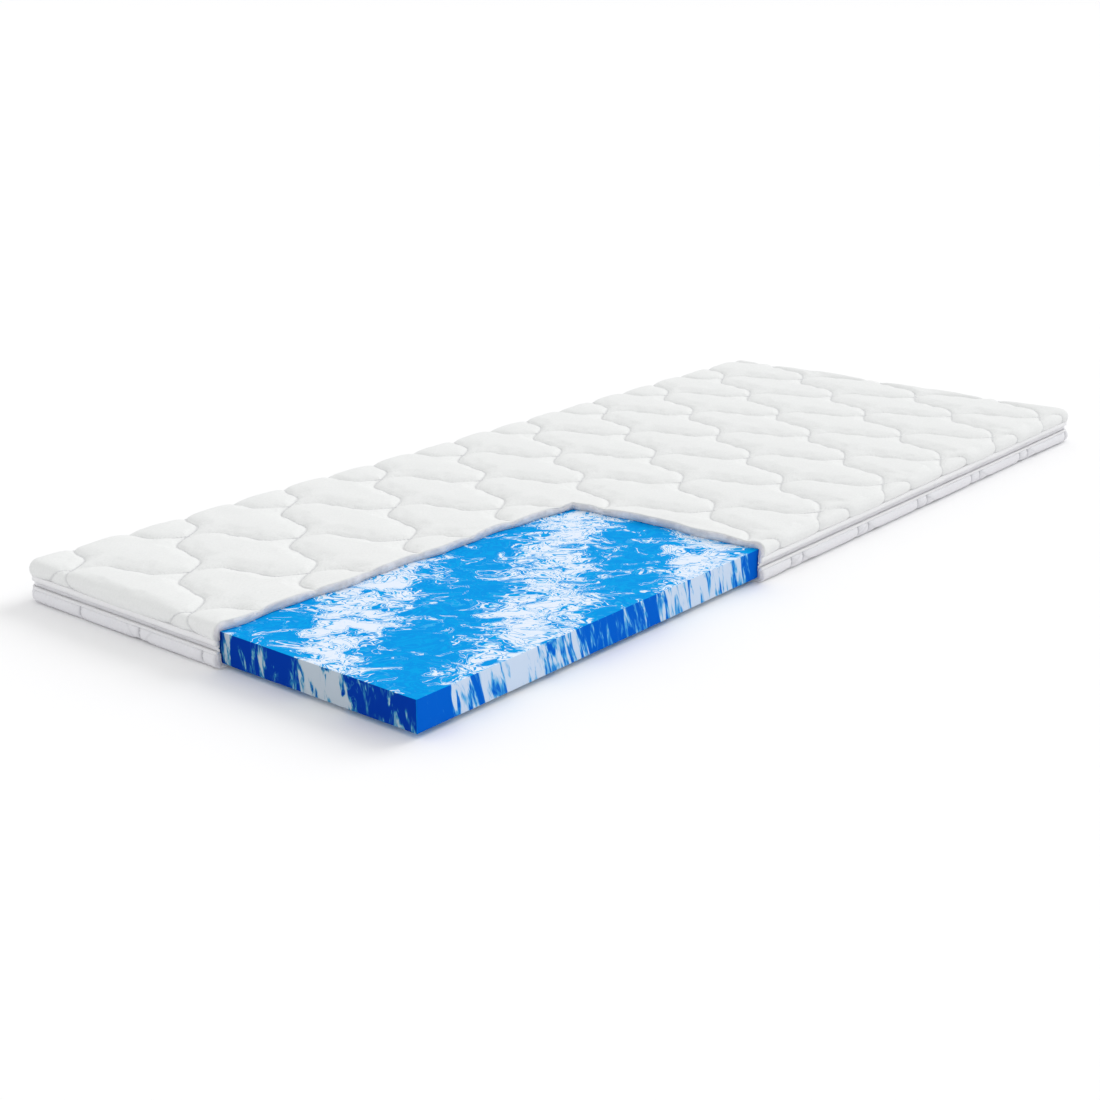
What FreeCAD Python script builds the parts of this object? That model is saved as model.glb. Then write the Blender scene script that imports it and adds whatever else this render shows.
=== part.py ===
import FreeCAD, Part
import math
import os

from FreeCAD import Vector

# Memory foam mattress topper with a quilted zip-off cover, shown with the cover cut
# away over one corner of the core. Millimetres, +Z up, X along the length.
# The origin is the centre of the underside.

# Overall size of the covered topper
length = 1900.0
width = 800.0

# Layers, from outside in
thread_thickness = 0.4
face_thickness = 1.2
top_wadding = 9.0
bottom_wadding = 5.0
side_wadding = 7.3
fleece_thickness = 0.8
core_gap = 0.3
core_height = 46.0

# Roundings
plan_radius = 16.0
top_edge_radius = 15.0
foot_radius = 9.0
core_corner_radius = 3.0
core_edge_radius = 1.5

# The part of the cover that is cut away: the corner at -X, -Y
cut_x = -195.0
cut_y = -31.0
cut_radius = 25.0

# Zip around the side wall
zip_height = 29.5
zip_opening = 8.6
upper_binding_height = 7.4
lower_binding_height = 3.7
binding_inset = 1.0
tape_inset = 6.8
tape_thickness = 0.8
coil_size = 2.0
coil_split = 2.0
tape_edge = 0.1
seam_width = 1.2

# Slider, parked on the +Y side, and its pull
slider_park_x = -840.0
slider_length = 11.0
slider_height = 7.8
slider_plate = 1.2
slider_lip = 0.6
slider_rear_plate = 1.0
running_gap = 0.3
diamond_length = 4.0
ear_thickness = 1.0
ear_spread = 5.2
pivot_radius = 0.6
pivot_clearance = 0.06
pull_length = 21.0
pull_height = 3.0
pull_eye_radius = 1.3
pull_thickness = 1.1
park_gap = 44.0
start_box_length = 8.0
start_pin_length = 14.0

# Quilting on top: an ogee lattice of stitches
cell_length = 210.7
row_spacing = 136.9
lattice_x = -82.0
lattice_y = 316.3
sway_once = 0.18
sway_twice = 0.046
points_per_row = 10
knot_margin = 0.008
stitch_width = 2.4

# Pinch stitches on the lower side wall
pinch_x = -88.4
pinch_pitch = 206.2
pinch_end_pitch = 135.2
pinch_pair = 34.0
pinch_height = 14.0
pinch_width = 1.6
pinch_below_seam = 1.0

# Care label on the +Y side
label_x = 640.0
label_width = 38.0
label_height = 17.0

# Worked out from the values above
side_inset = thread_thickness + face_thickness + side_wadding + fleece_thickness + core_gap
core_bottom = face_thickness + bottom_wadding + fleece_thickness + core_gap
core_top = core_bottom + core_height
face_top = core_top + core_gap + fleece_thickness + top_wadding + face_thickness
total_height = face_top + thread_thickness
lower_binding_top = zip_height - zip_opening / 2
upper_binding_foot = zip_height + zip_opening / 2
lower_quilt_top = lower_binding_top - lower_binding_height
upper_quilt_foot = upper_binding_foot + upper_binding_height
coil_inset = tape_inset - coil_size
tape_back = tape_inset + tape_thickness
beyond = 50.0
touching = 1e-3


def plan_prism(inset, radius, z_low, z_high):
    """A rounded rectangle, the given distance inside the outline, pulled up from z_low to z_high."""
    half_x = length / 2 - inset
    half_y = width / 2 - inset
    block = Part.makeBox(2 * half_x, 2 * half_y, z_high - z_low, Vector(-half_x, -half_y, z_low))
    uprights = [e for e in block.Edges if abs(e.BoundBox.ZLength - (z_high - z_low)) < touching]
    return block.makeFillet(radius, uprights)


def edges_at(shape, height):
    flat = [e for e in shape.Edges if e.BoundBox.ZLength < touching]
    return [e for e in flat if abs(e.BoundBox.ZMin - height) < touching]


def slab(inset, radius, z_low, z_high, foot=0.0, crown=0.0):
    """A plan prism whose lower edge is rounded by foot and upper edge by crown."""
    shape = plan_prism(inset, radius, z_low, z_high)
    if crown > 0:
        shape = shape.makeFillet(crown, edges_at(shape, z_high))
    if foot > 0:
        shape = shape.makeFillet(foot, edges_at(shape, z_low))
    return shape


def box_between(x0, x1, y0, y1, z0, z1):
    return Part.makeBox(x1 - x0, y1 - y0, z1 - z0, Vector(x0, y0, z0))


def cutaway():
    """The block of cover that is taken off the corner, with a rounded inner corner."""
    x0 = -length / 2 - beyond
    y0 = -width / 2 - beyond
    block = box_between(x0, cut_x, y0, cut_y, -beyond, total_height + beyond)
    corner = Vector(cut_x, cut_y, total_height / 2)
    inner = [e for e in block.Edges if e.distToShape(Part.Vertex(corner))[0] < touching]
    return block.makeFillet(cut_radius, inner)


def band(outer_inset, inner_inset, z_low, z_high):
    """An upright strip that runs around the side wall and stops at the cutaway."""
    outer = plan_prism(outer_inset, plan_radius - outer_inset, z_low, z_high)
    inner = plan_prism(inner_inset, plan_radius - inner_inset, z_low, z_high)
    return outer.cut(inner).cut(cutaway())


# The skins of the cover, as full closed blocks from outside in
def outer_block():
    """The cover's outer form, just inside the stitches that lie on it."""
    inset = thread_thickness
    return slab(inset, plan_radius - inset, 0, face_top, foot_radius - inset, top_edge_radius - inset)


def inner_block(inset, spare):
    """The room for the core, with sharp edges, spare being its distance from the core."""
    return plan_prism(inset, core_corner_radius + spare, core_bottom - spare, core_top + spare)


def wadding_block():
    """The outer form of the wadding: under the face fabric all round."""
    inset = thread_thickness + face_thickness
    return slab(
        inset,
        plan_radius - inset,
        face_thickness,
        face_top - face_thickness,
        foot_radius - inset,
        top_edge_radius - inset,
    )


def above(shape, height):
    return shape.common(box_between(-length, length, -width, width, height, total_height + beyond))


def below(shape, height):
    return shape.common(box_between(-length, length, -width, width, -beyond, height))


def cover_layers():
    """Face fabric, wadding and fleece of the whole cover, before it is parted at the zip."""
    face = outer_block().cut(wadding_block())
    fleece_outer = inner_block(side_inset - core_gap - fleece_thickness, core_gap + fleece_thickness)
    fleece_inner = inner_block(side_inset - core_gap, core_gap)
    wadding = wadding_block().cut(fleece_outer)
    fleece = fleece_outer.cut(fleece_inner)
    gone = cutaway()
    return [layer.cut(gone) for layer in (face, wadding, fleece)]


def foam_core():
    block = plan_prism(side_inset, core_corner_radius, core_bottom, core_top)
    block = block.makeFillet(core_edge_radius, edges_at(block, core_top))
    return block.makeFillet(core_edge_radius, edges_at(block, core_bottom))


def sway(v):
    """How far along its half cell a branch has moved, for v from 0 at one knot to 1 at the next."""
    return v + sway_once * math.sin(2 * math.pi * v) + sway_twice * math.sin(4 * math.pi * v)


def stitched_branch(knot_x, knot_y, way):
    """A thin strip from one knot to the next row's knot, half a cell to the side, stopping short of both."""
    points = []
    for step in range(points_per_row + 1):
        v = knot_margin + (1 - 2 * knot_margin) * step / points_per_row
        points.append(Vector(knot_x + way * sway(v) * cell_length / 2, knot_y - v * row_spacing, face_top))
    shift = Vector(stitch_width / 2, 0, 0)
    outline = [p - shift for p in points] + [p + shift for p in reversed(points)]
    wire = Part.makePolygon(outline + outline[:1])
    return Part.Face(wire).extrude(Vector(0, 0, thread_thickness))


def top_quilting_thread():
    """Every stitched branch that lies on the flat of the top face, trimmed where it runs off."""
    margin = top_edge_radius + stitch_width
    sheet = plan_prism(margin, stitch_width, face_top, total_height).cut(cutaway())
    rows = math.ceil(width / row_spacing)
    reach = math.ceil(length / 2 / cell_length) + 1
    strips = []
    for row in range(-rows, rows + 1):
        knot_y = lattice_y + row * row_spacing
        for cell in range(-reach, reach + 1):
            knot_x = lattice_x + (cell + (row % 2) / 2) * cell_length
            for way in (-1, 1):
                strip = stitched_branch(knot_x, knot_y, way)
                box = strip.BoundBox
                off = max(abs(box.XMin), abs(box.XMax)) - length / 2 > cell_length
                off = off or box.YMin > width / 2 or box.YMax < -width / 2
                if off:
                    continue
                whole = max(abs(box.XMin), abs(box.XMax)) < length / 2 - margin
                whole = whole and max(abs(box.YMin), abs(box.YMax)) < width / 2 - margin
                whole = whole and (box.XMin > cut_x or box.YMin > cut_y)
                strips += [strip] if whole else strip.common(sheet).Solids
    return Part.makeCompound(strips)


def pinch_stitches():
    """Pairs of short upright stitch lines on the lower side wall."""
    z1 = lower_quilt_top - pinch_below_seam
    z0 = z1 - pinch_height
    half = pinch_width / 2
    strips = []
    reach = int(length / 2 / pinch_pitch) + 1
    pinch_rows = int((width / 2 - plan_radius) / pinch_end_pitch)
    for cell in range(-reach, reach + 1):
        for side in (-1, 1):
            x = pinch_x + cell * pinch_pitch + side * pinch_pair / 2
            if abs(x) > length / 2 - plan_radius - pinch_width:
                continue
            for wall in (-1, 1):
                y = sorted((wall * width / 2, wall * (width / 2 - thread_thickness)))
                clear_of_label = wall < 0 or abs(x - label_x) > label_width / 2 + pinch_width
                if clear_of_label and (wall > 0 or x > cut_x + pinch_width):
                    strips.append(box_between(x - half, x + half, y[0], y[1], z0, z1))
    for wall in (-1, 1):
        x = sorted((wall * length / 2, wall * (length / 2 - thread_thickness)))
        for row in range(-pinch_rows, pinch_rows + 1):
            y = row * pinch_end_pitch
            if wall > 0 or y > cut_y + pinch_width:
                strips.append(box_between(x[0], x[1], y - half, y + half, z0, z1))
    return Part.makeCompound(strips)


def seam_thread(height):
    """A line of stitching around a binding's outer face."""
    return band(
        binding_inset - thread_thickness, binding_inset, height - seam_width / 2, height + seam_width / 2
    )


def park_stretch(x0, x1):
    """The block around the zip on the +Y side between two places along the length."""
    return box_between(x0, x1, width / 2 - side_inset, width / 2 + beyond, 0, total_height)


def start_box():
    """The small housing at the zip's start, on the lower tape, beside the parked slider."""
    right = slider_park_x - slider_length / 2 - running_gap
    z0 = zip_height - coil_split / 2 - coil_size
    z1 = zip_height + coil_split / 2 + coil_size
    y1 = width / 2 - coil_inset
    return box_between(right - start_box_length, right, y1 - coil_size, y1, z0, z1)


def start_pin():
    """The pin at the start of the upper tape, which drops into the slider."""
    left = slider_park_x + park_gap / 2
    z0 = zip_height + coil_split / 2
    y1 = width / 2 - coil_inset
    return box_between(left - start_pin_length, left, y1 - coil_size, y1, z0, z0 + coil_size)


def lower_coil():
    z1 = zip_height - coil_split / 2
    ring = band(coil_inset, tape_inset, z1 - coil_size, z1)
    right = slider_park_x - slider_length / 2 - running_gap
    return ring.cut(park_stretch(right - start_box_length, right))


def upper_coil():
    z0 = zip_height + coil_split / 2
    ring = band(coil_inset, tape_inset, z0, z0 + coil_size)
    return ring.cut(park_stretch(slider_park_x - park_gap / 2, slider_park_x + park_gap / 2))


def pivot_place():
    """The pull's hinge line: its x and y, in front of the slider's front plate."""
    front = width / 2 - coil_inset + running_gap + slider_plate
    return slider_park_x, front + pull_eye_radius + running_gap


def zip_slider():
    """Front and rear plates joined by a wedge that runs between the coils, with two ears and a pin."""
    x0 = slider_park_x - slider_length / 2
    x1 = slider_park_x + slider_length / 2
    z0 = zip_height - slider_height / 2
    z1 = zip_height + slider_height / 2
    front_in = width / 2 - coil_inset + running_gap
    front_out = front_in + slider_plate
    rear_out = width / 2 - tape_back - running_gap
    lip_in = width / 2 - tape_inset + running_gap
    body = box_between(x0, x1, front_in, front_out, z0, z1)
    body = body.fuse(box_between(x0, x1, rear_out - slider_rear_plate, rear_out, z0, z1))
    body = body.fuse(box_between(x0, x1, lip_in, front_in, z0, z0 + slider_lip))
    body = body.fuse(box_between(x0, x1, lip_in, front_in, z1 - slider_lip, z1))
    half_gap = coil_split / 2 - running_gap
    wedge = box_between(
        x1 - diamond_length, x1, rear_out, front_in, zip_height - half_gap, zip_height + half_gap
    )
    body = body.fuse(wedge)
    pivot_x, pivot_y = pivot_place()
    ear_x = (pivot_x - pull_eye_radius, pivot_x + pull_eye_radius)
    for z_ear in (zip_height - ear_spread / 2 - ear_thickness, zip_height + ear_spread / 2):
        ear = box_between(*ear_x, front_out, pivot_y, z_ear, z_ear + ear_thickness)
        knuckle = Part.makeCylinder(pull_eye_radius, ear_thickness, Vector(pivot_x, pivot_y, z_ear))
        body = body.fuse(ear).fuse(knuckle)
    pin_length = ear_spread + 2 * ear_thickness
    pin_foot = Vector(pivot_x, pivot_y, zip_height - pin_length / 2)
    pin = Part.makeCylinder(pivot_radius, pin_length, pin_foot)
    return body.fuse(pin).removeSplitter()


def zip_pull():
    """A flat tab with an eye around the slider's pin."""
    pivot_x, pivot_y = pivot_place()
    z0 = zip_height - pull_height / 2
    y0 = pivot_y - pull_thickness / 2
    eye = Part.makeCylinder(pull_eye_radius, pull_height, Vector(pivot_x, pivot_y, z0))
    tab = box_between(pivot_x, pivot_x + pull_length, y0, y0 + pull_thickness, z0, z0 + pull_height)
    hole_foot = Vector(pivot_x, pivot_y, z0 - beyond)
    hole = Part.makeCylinder(pivot_radius + pivot_clearance, pull_height + 2 * beyond, hole_foot)
    return eye.fuse(tab).cut(hole).removeSplitter()


def care_label():
    """A blank label, sewn into the lower seam and lying on the side wall."""
    half = label_width / 2
    y1 = width / 2
    z1 = lower_quilt_top
    return box_between(label_x - half, label_x + half, y1 - thread_thickness, y1, z1 - label_height, z1)


face, wadding, fleece = cover_layers()
pieces = {
    "foam_core": foam_core(),
    "bottom_face_fabric": below(face, lower_quilt_top),
    "bottom_wadding": below(wadding, lower_quilt_top),
    "bottom_backing_fleece": below(fleece, lower_quilt_top),
    "top_face_fabric": above(face, upper_quilt_foot),
    "top_wadding": above(wadding, upper_quilt_foot),
    "top_backing_fleece": above(fleece, upper_quilt_foot),
    "top_quilting_thread": top_quilting_thread(),
    "lower_pinch_stitches": pinch_stitches(),
    "lower_edge_binding": band(binding_inset, tape_inset, lower_quilt_top, lower_binding_top),
    "upper_edge_binding": band(binding_inset, tape_inset, upper_binding_foot, upper_quilt_foot),
    "lower_seam_thread": seam_thread(lower_quilt_top + lower_binding_height / 2),
    "upper_seam_thread": seam_thread(upper_quilt_foot - upper_binding_height / 2),
    "lower_zip_tape": band(tape_inset, tape_back, lower_quilt_top, zip_height - coil_split / 2 + tape_edge),
    "upper_zip_tape": band(tape_inset, tape_back, zip_height + coil_split / 2 - tape_edge, upper_quilt_foot),
    "lower_zip_coil": lower_coil(),
    "upper_zip_coil": upper_coil(),
    "zip_start_box": start_box(),
    "zip_start_pin": start_pin(),
    "zip_slider_body": zip_slider(),
    "zip_pull_tab": zip_pull(),
    "care_label": care_label(),
}

os.makedirs("parts", exist_ok=True)
for node, shape in pieces.items():
    shape.exportStep("parts/" + node + ".step")
    box = shape.BoundBox
    print(
        f"{node:24s} solids {len(shape.Solids):3d} valid {shape.isValid()}"
        f" volume {shape.Volume / 1000:10.2f} cm3  x {box.XMin:8.1f} {box.XMax:8.1f}"
        f"  y {box.YMin:7.1f} {box.YMax:7.1f}  z {box.ZMin:5.1f} {box.ZMax:5.1f}"
    )
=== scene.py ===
import math

import bpy
import numpy as np
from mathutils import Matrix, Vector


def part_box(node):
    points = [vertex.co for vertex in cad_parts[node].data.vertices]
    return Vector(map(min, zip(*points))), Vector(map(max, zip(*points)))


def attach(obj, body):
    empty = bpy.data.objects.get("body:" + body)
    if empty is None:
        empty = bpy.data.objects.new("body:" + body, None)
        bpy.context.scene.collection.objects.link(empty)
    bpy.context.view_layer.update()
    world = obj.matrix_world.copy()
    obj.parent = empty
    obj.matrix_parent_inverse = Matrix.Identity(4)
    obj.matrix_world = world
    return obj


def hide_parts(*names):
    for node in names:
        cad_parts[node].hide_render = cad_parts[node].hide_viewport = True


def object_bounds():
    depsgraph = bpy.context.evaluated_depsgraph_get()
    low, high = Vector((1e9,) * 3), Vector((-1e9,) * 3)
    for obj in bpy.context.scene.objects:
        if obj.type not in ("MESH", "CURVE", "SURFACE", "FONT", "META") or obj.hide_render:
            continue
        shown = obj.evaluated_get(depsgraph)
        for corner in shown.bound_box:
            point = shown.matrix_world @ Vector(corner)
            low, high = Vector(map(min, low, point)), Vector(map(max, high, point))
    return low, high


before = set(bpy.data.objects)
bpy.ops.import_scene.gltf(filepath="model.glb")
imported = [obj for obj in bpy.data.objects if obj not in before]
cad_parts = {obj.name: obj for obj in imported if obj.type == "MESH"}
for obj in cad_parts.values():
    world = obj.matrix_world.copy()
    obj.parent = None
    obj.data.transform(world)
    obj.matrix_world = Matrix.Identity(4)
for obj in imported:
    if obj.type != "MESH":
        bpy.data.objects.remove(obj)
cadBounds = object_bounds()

# Thin memory foam mattress: a marbled foam core in a quilted cover that zips all round.
# The cover is cut away over the corner at -X, -Y. Everything is in metres.

mm = 0.001
turn = 2 * math.pi

# Places read from the frame
halfLength, halfWidth = np.array(cadBounds[1])[:2]
coreLow, coreHigh = (np.array(corner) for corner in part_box("foam_core"))
upperFaceLow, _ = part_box("top_face_fabric")
lowerFaceLow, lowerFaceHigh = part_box("bottom_face_fabric")
_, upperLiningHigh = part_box("top_backing_fleece")
lowerLiningLow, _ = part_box("bottom_backing_fleece")


def nodePoints(node):
    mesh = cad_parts[node].data
    points = np.empty(len(mesh.vertices) * 3)
    mesh.vertices.foreach_get("co", points)
    return points.reshape(-1, 3)


# The cutaway's two edges, where the wadding's front wall and left wall begin
waddingPoints = nodePoints("top_wadding")
cutX = waddingPoints[waddingPoints[:, 1] < -halfWidth + 20 * mm, 0].min()
cutY = waddingPoints[waddingPoints[:, 0] < -halfLength + 20 * mm, 1].min()
print("frame read, cutaway at", round(float(cutX), 4), round(float(cutY), 4))


# Meshes from numpy arrays


def makePiece(name, points, quads, cloth=None, creased=None):
    # points n x 3, quads m x 4 corner numbers; cloth holds flat cloth coordinates for each point,
    # and creased a number from 0 to 1 for how deep in a pinched line it lies
    used, quads = np.unique(quads, return_inverse=True)
    quads = quads.reshape(-1, 4)
    points = points[used]
    mesh = bpy.data.meshes.new(name)
    mesh.vertices.add(len(points))
    mesh.vertices.foreach_set("co", np.ascontiguousarray(points, np.float32).ravel())
    mesh.loops.add(quads.size)
    mesh.loops.foreach_set("vertex_index", np.ascontiguousarray(quads, np.int32).ravel())
    mesh.polygons.add(len(quads))
    mesh.polygons.foreach_set("loop_start", np.arange(0, quads.size, 4, dtype=np.int32))
    mesh.polygons.foreach_set("use_smooth", np.full(len(quads), True))
    if cloth is not None:
        layer = mesh.uv_layers.new(name="cloth")
        layer.data.foreach_set("uv", cloth[used][quads.ravel()].astype(np.float32).ravel())
    if creased is not None:
        attribute = mesh.attributes.new("creased", "FLOAT", "POINT")
        attribute.data.foreach_set("value", creased[used].astype(np.float32))
    mesh.update(calc_edges=True)
    mesh.validate()
    piece = bpy.data.objects.new(name, mesh)
    bpy.context.scene.collection.objects.link(piece)
    return piece


def place(piece, body, slot, replaced=(), finish=None):
    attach(piece, body)
    if replaced:
        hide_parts(*replaced)
    if finish is not None:
        piece.data.materials.append(finish)


def gridLines(low, high, step, marks):
    # places from low to high about one step apart, with a line on every mark
    stops = sorted({low, high, *(m for m in marks if low < m < high)})
    spans = [
        np.linspace(a, b, max(2, round((b - a) / step) + 1))[:-1] for a, b in zip(stops, stops[1:])
    ]
    return np.concatenate(spans + [[high]])


def joinSheets(layers, keep, flip=False, openInside=False):
    # Layers are grids of points from the outer sheet to the inner one. The outer and inner sheets
    # are filled where keep is true, and the layers are joined in turn around the border.
    rows, cols = keep.shape
    size = (rows + 1) * (cols + 1)
    index = np.arange(size).reshape(rows + 1, cols + 1)
    corners = [index[:-1, :-1], index[1:, :-1], index[1:, 1:], index[:-1, 1:]]
    outer = np.stack([c[keep] for c in corners], 1)
    fenced = np.pad(keep, 1)
    sides = [(0, 1, (0, -1)), (1, 2, (1, 0)), (2, 3, (0, 1)), (3, 0, (-1, 0))]
    edges = []
    for start, end, (di, dj) in sides:
        beside = fenced[1 + di : 1 + di + rows, 1 + dj : 1 + dj + cols]
        border = keep & ~beside
        edges.append(np.stack([corners[start][border], corners[end][border]], 1))
    edges = np.concatenate(edges)
    faces = [outer]
    for k in range(len(layers) - 1):
        near, far = edges + k * size, edges + (k + 1) * size
        faces.append(np.stack([near[:, 1], near[:, 0], far[:, 0], far[:, 1]], 1))
    if not openInside:
        faces.append(outer[:, ::-1] + (len(layers) - 1) * size)
    quads = np.concatenate(faces)
    return np.concatenate([layer.reshape(-1, 3) for layer in layers]), quads[:, ::-1] if flip else quads


def gridQuads(index):
    # quads between neighbours in a grid of corner numbers
    return np.stack([index[:-1, :-1], index[1:, :-1], index[1:, 1:], index[:-1, 1:]], -1).reshape(-1, 4)


def ringQuads(index):
    # quads between rings of corner numbers, each ring closed on itself
    after = np.roll(index, -1, 1)
    return np.stack([index[:-1], after[:-1], after[1:], index[1:]], -1).reshape(-1, 4)


def smoothStep(x, low, high):
    t = np.clip((x - low) / (high - low), 0, 1)
    return t * t * (3 - 2 * t)


def ripples(x, y, seed, count, wave):
    # a sum of sine waves of about the given wavelength in random directions
    rng = np.random.default_rng(seed)
    total = np.zeros(np.broadcast(x, y).shape)
    for _ in range(count):
        angle, phase = rng.uniform(0, turn, 2)
        length = wave * rng.uniform(0.7, 1.5)
        total += np.sin(turn * (x * math.cos(angle) + y * math.sin(angle)) / length + phase)
    return total / math.sqrt(count)


# The flat cloth and how it wraps the core

wrap = {
    "planCorner": 23 * mm,      # corner radius seen from above
    "topRound": 19 * mm,        # rounding of the upper edge
    "footRound": 9 * mm,        # rounding of the lower edge
    "puffTop": 66.5 * mm,       # height that the puffs reach
    "cutWave": 3.2 * mm,        # how far the cut edge wanders
    "cutCorner": 42 * mm,       # rounding of the cut's inner corner
    "cutReach": 45 * mm,        # how far the wandering spreads into the cloth
    "bulge": 2.0 * mm,          # how far the padded wall swells between its edge and its seam
    "wander": 0.9 * mm,         # how far the outline wanders in and out along its length
}


def pastFlat(u, v, halfX, halfY):
    # how far past the flat of a face a point lies, and the way it heads, square rings made round
    a, b = np.maximum(np.abs(u) - halfX, 0), np.maximum(np.abs(v) - halfY, 0)
    s = np.maximum(a, b)
    safe = np.maximum(s, 1e-9)
    return s, np.where(a >= b, b / safe, 2 - a / safe) * math.pi / 4


class Wrap:
    # One half of the cover: a flat rectangle of cloth, bent over an edge rounding and down a wall.
    # up is 1 for the upper half and -1 for the lower; crown is the height of its flat face.
    def __init__(self, up, rounding, crown, seam):
        self.up, self.rounding, self.crown = up, rounding, crown
        self.flat = wrap["planCorner"] - rounding
        self.halfX = halfLength - wrap["planCorner"]
        self.halfY = halfWidth - wrap["planCorner"]
        self.wall = abs(crown - seam) - rounding
        self.reach = self.flat + rounding * math.pi / 2 + self.wall

    def lines(self, step, edgeStep=None, extra=((), ())):
        # the two sets of grid lines on the flat cloth, finer over the edge, and which cells are cloth
        marks = []
        for half, cut, more in ((self.halfX, cutX, extra[0]), (self.halfY, cutY, extra[1])):
            end = half + self.reach
            edge = edgeStep or step
            inner = gridLines(-half, half, step, [cut, *more])
            left = gridLines(-end, -half, edge, [])
            marks.append(np.concatenate([left[:-1], inner, -left[::-1][1:]]))
        u, v = np.meshgrid(*marks, indexing="ij")
        middleU, middleV = ((m[1:] + m[:-1]) / 2 for m in marks)
        keep = ~((middleU[:, None] < cutX) & (middleV[None, :] < cutY))
        return u, v, keep

    def beyond(self, u, v):
        return pastFlat(u, v, self.halfX, self.halfY)

    def point(self, u, v, off):
        # flat out to the edge, then a quarter circle of the rounding's radius, then straight down;
        # off is the height above that surface, measured square to it
        s, angle = self.beyond(u, v)
        bend = np.clip((s - self.flat) / self.rounding, 0, math.pi / 2)
        drop = np.maximum(s - self.flat - self.rounding * math.pi / 2, 0)
        out = np.minimum(s, self.flat) + self.rounding * np.sin(bend) + off * np.sin(bend)
        fall = self.rounding * (1 - np.cos(bend)) + drop - off * np.cos(bend)
        x = np.sign(u) * (np.minimum(np.abs(u), self.halfX) + out * np.cos(angle))
        y = np.sign(v) * (np.minimum(np.abs(v), self.halfY) + out * np.sin(angle))
        return np.stack([x, y, self.crown - self.up * fall], -1)

    def sharpPoint(self, u, v, insetX, insetZ):
        # the same cloth place on a sharp-edged box inside: out to the side, then straight down
        s, angle = self.beyond(u, v)
        a, b = np.cos(angle), np.sin(angle)
        widest = np.maximum(a, b)
        side = wrap["planCorner"] - insetX
        level = self.flat + self.rounding * 0.8
        out = np.minimum(s * side / level, side)
        down = np.clip((s - level) / (self.reach - level), 0, 1)
        height = self.rounding + self.wall - insetZ
        x = np.sign(u) * (np.minimum(np.abs(u), self.halfX) + out * a / widest)
        y = np.sign(v) * (np.minimum(np.abs(v), self.halfY) + out * b / widest)
        return np.stack([x, y, self.crown - self.up * (insetZ + down * height)], -1)


def wanderCut(u, v):
    # the cut edge waves gently and its inner corner is rounded; cloth near it goes along
    du, dv = u - cutX, v - cutY
    reach = wrap["cutReach"]
    alongU = np.exp(-((dv / reach) ** 2)) * (1 - smoothStep(du, -10 * mm, 30 * mm))
    alongV = np.exp(-((du / reach) ** 2)) * (1 - smoothStep(dv, -10 * mm, 30 * mm))
    waveV = np.sin(turn * u / 0.21 + 0.6) + 0.5 * np.sin(turn * u / 0.094 + 2.0)
    waveU = np.sin(turn * v / 0.19 + 1.9) + 0.5 * np.sin(turn * v / 0.083 + 0.4)
    corner = wrap["cutCorner"] * (1 - math.sqrt(0.5)) * np.exp(-(du**2 + dv**2) / wrap["cutCorner"] ** 2)
    newU = u + wrap["cutWave"] * waveU * alongV - corner
    newV = v + wrap["cutWave"] * waveV * alongU - corner
    return newU, newV


def swelling(half, u, v):
    # the padded wall swells by half a sine from its edge to its seam, and the outline wanders a little
    s, _ = half.beyond(u, v)
    start = half.flat + half.rounding * (0.25 if half.up > 0 else 1.0)
    share = np.clip((s - start) / (half.reach - start), 0, 1)
    wandering = wrap["wander"] * ripples(u, v, 5 + half.up, 5, 420 * mm) * smoothStep(s, 0, half.rounding)
    return wrap["bulge"] * np.sin(math.pi * share) ** 0.8 + wandering * (share > 0 if half.up < 0 else 1)


# Quilting: an ogee lattice of stitches

quilting = {
    "cell": 210.7 * mm,         # knot to knot along the length
    "row": 136.9 * mm,          # knot row to knot row
    "knotX": -82 * mm,
    "knotY": 316.3 * mm,
    "swayOnce": 0.18,           # how a branch leaves the knot along the length, then turns across
    "swayTwice": 0.046,
    "depth": 9.0 * mm,          # from the puffs' tops to the stitches
    "pinch": 9.5 * mm,          # how wide the stitches pull the cloth down
    "nearCut": 0.55,            # the cut lets the stitched lines spring up by this share
    "stitch": 4.2 * mm,
    "gap": 1.5 * mm,
    "thread": 0.42 * mm,
}


def sway(v):
    return v + quilting["swayOnce"] * np.sin(turn * v) + quilting["swayTwice"] * np.sin(2 * turn * v)


def fromStitches(u, v, knotX, knotY):
    # distance to the nearest branch: its distance along the length, made square to the branch
    q = quilting
    rows = (knotY - v) / q["row"]
    row = np.floor(rows)
    share = rows - row
    middle = knotX + (row % 2) * q["cell"] / 2
    half = q["cell"] / 2
    once, twice = turn * share, 2 * turn * share
    slope = 1 + q["swayOnce"] * turn * np.cos(once) + q["swayTwice"] * 2 * turn * np.cos(twice)
    steep = np.sqrt(1 + (half * slope / q["row"]) ** 2)
    nearest = [
        np.abs((u - middle - way * half * sway(share) + half) % q["cell"] - half) for way in (-1, 1)
    ]
    return np.minimum(*nearest) / steep


def domes(distance, step, rounds):
    # a skin blown up between the stitches: each place settles at its neighbours' mean plus a little
    free = distance > 0.7 * step
    height = np.zeros_like(distance)
    for _ in range(rounds):
        fenced = np.pad(height, 1, mode="edge")
        around = fenced[2:, 1:-1] + fenced[:-2, 1:-1] + fenced[1:-1, 2:] + fenced[1:-1, :-2]
        height = (around / 4 + 1) * free
    return height / np.quantile(height, 0.995)


upperWrap = Wrap(1, wrap["topRound"], wrap["puffTop"], upperFaceLow[2])
lowerWrap = Wrap(-1, wrap["footRound"], lowerFaceLow[2], lowerFaceHigh[2])
upperKnots = (quilting["knotX"], quilting["knotY"])
lowerKnots = (quilting["knotX"], -(lowerWrap.halfY + lowerWrap.reach - 2 * mm))


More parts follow.
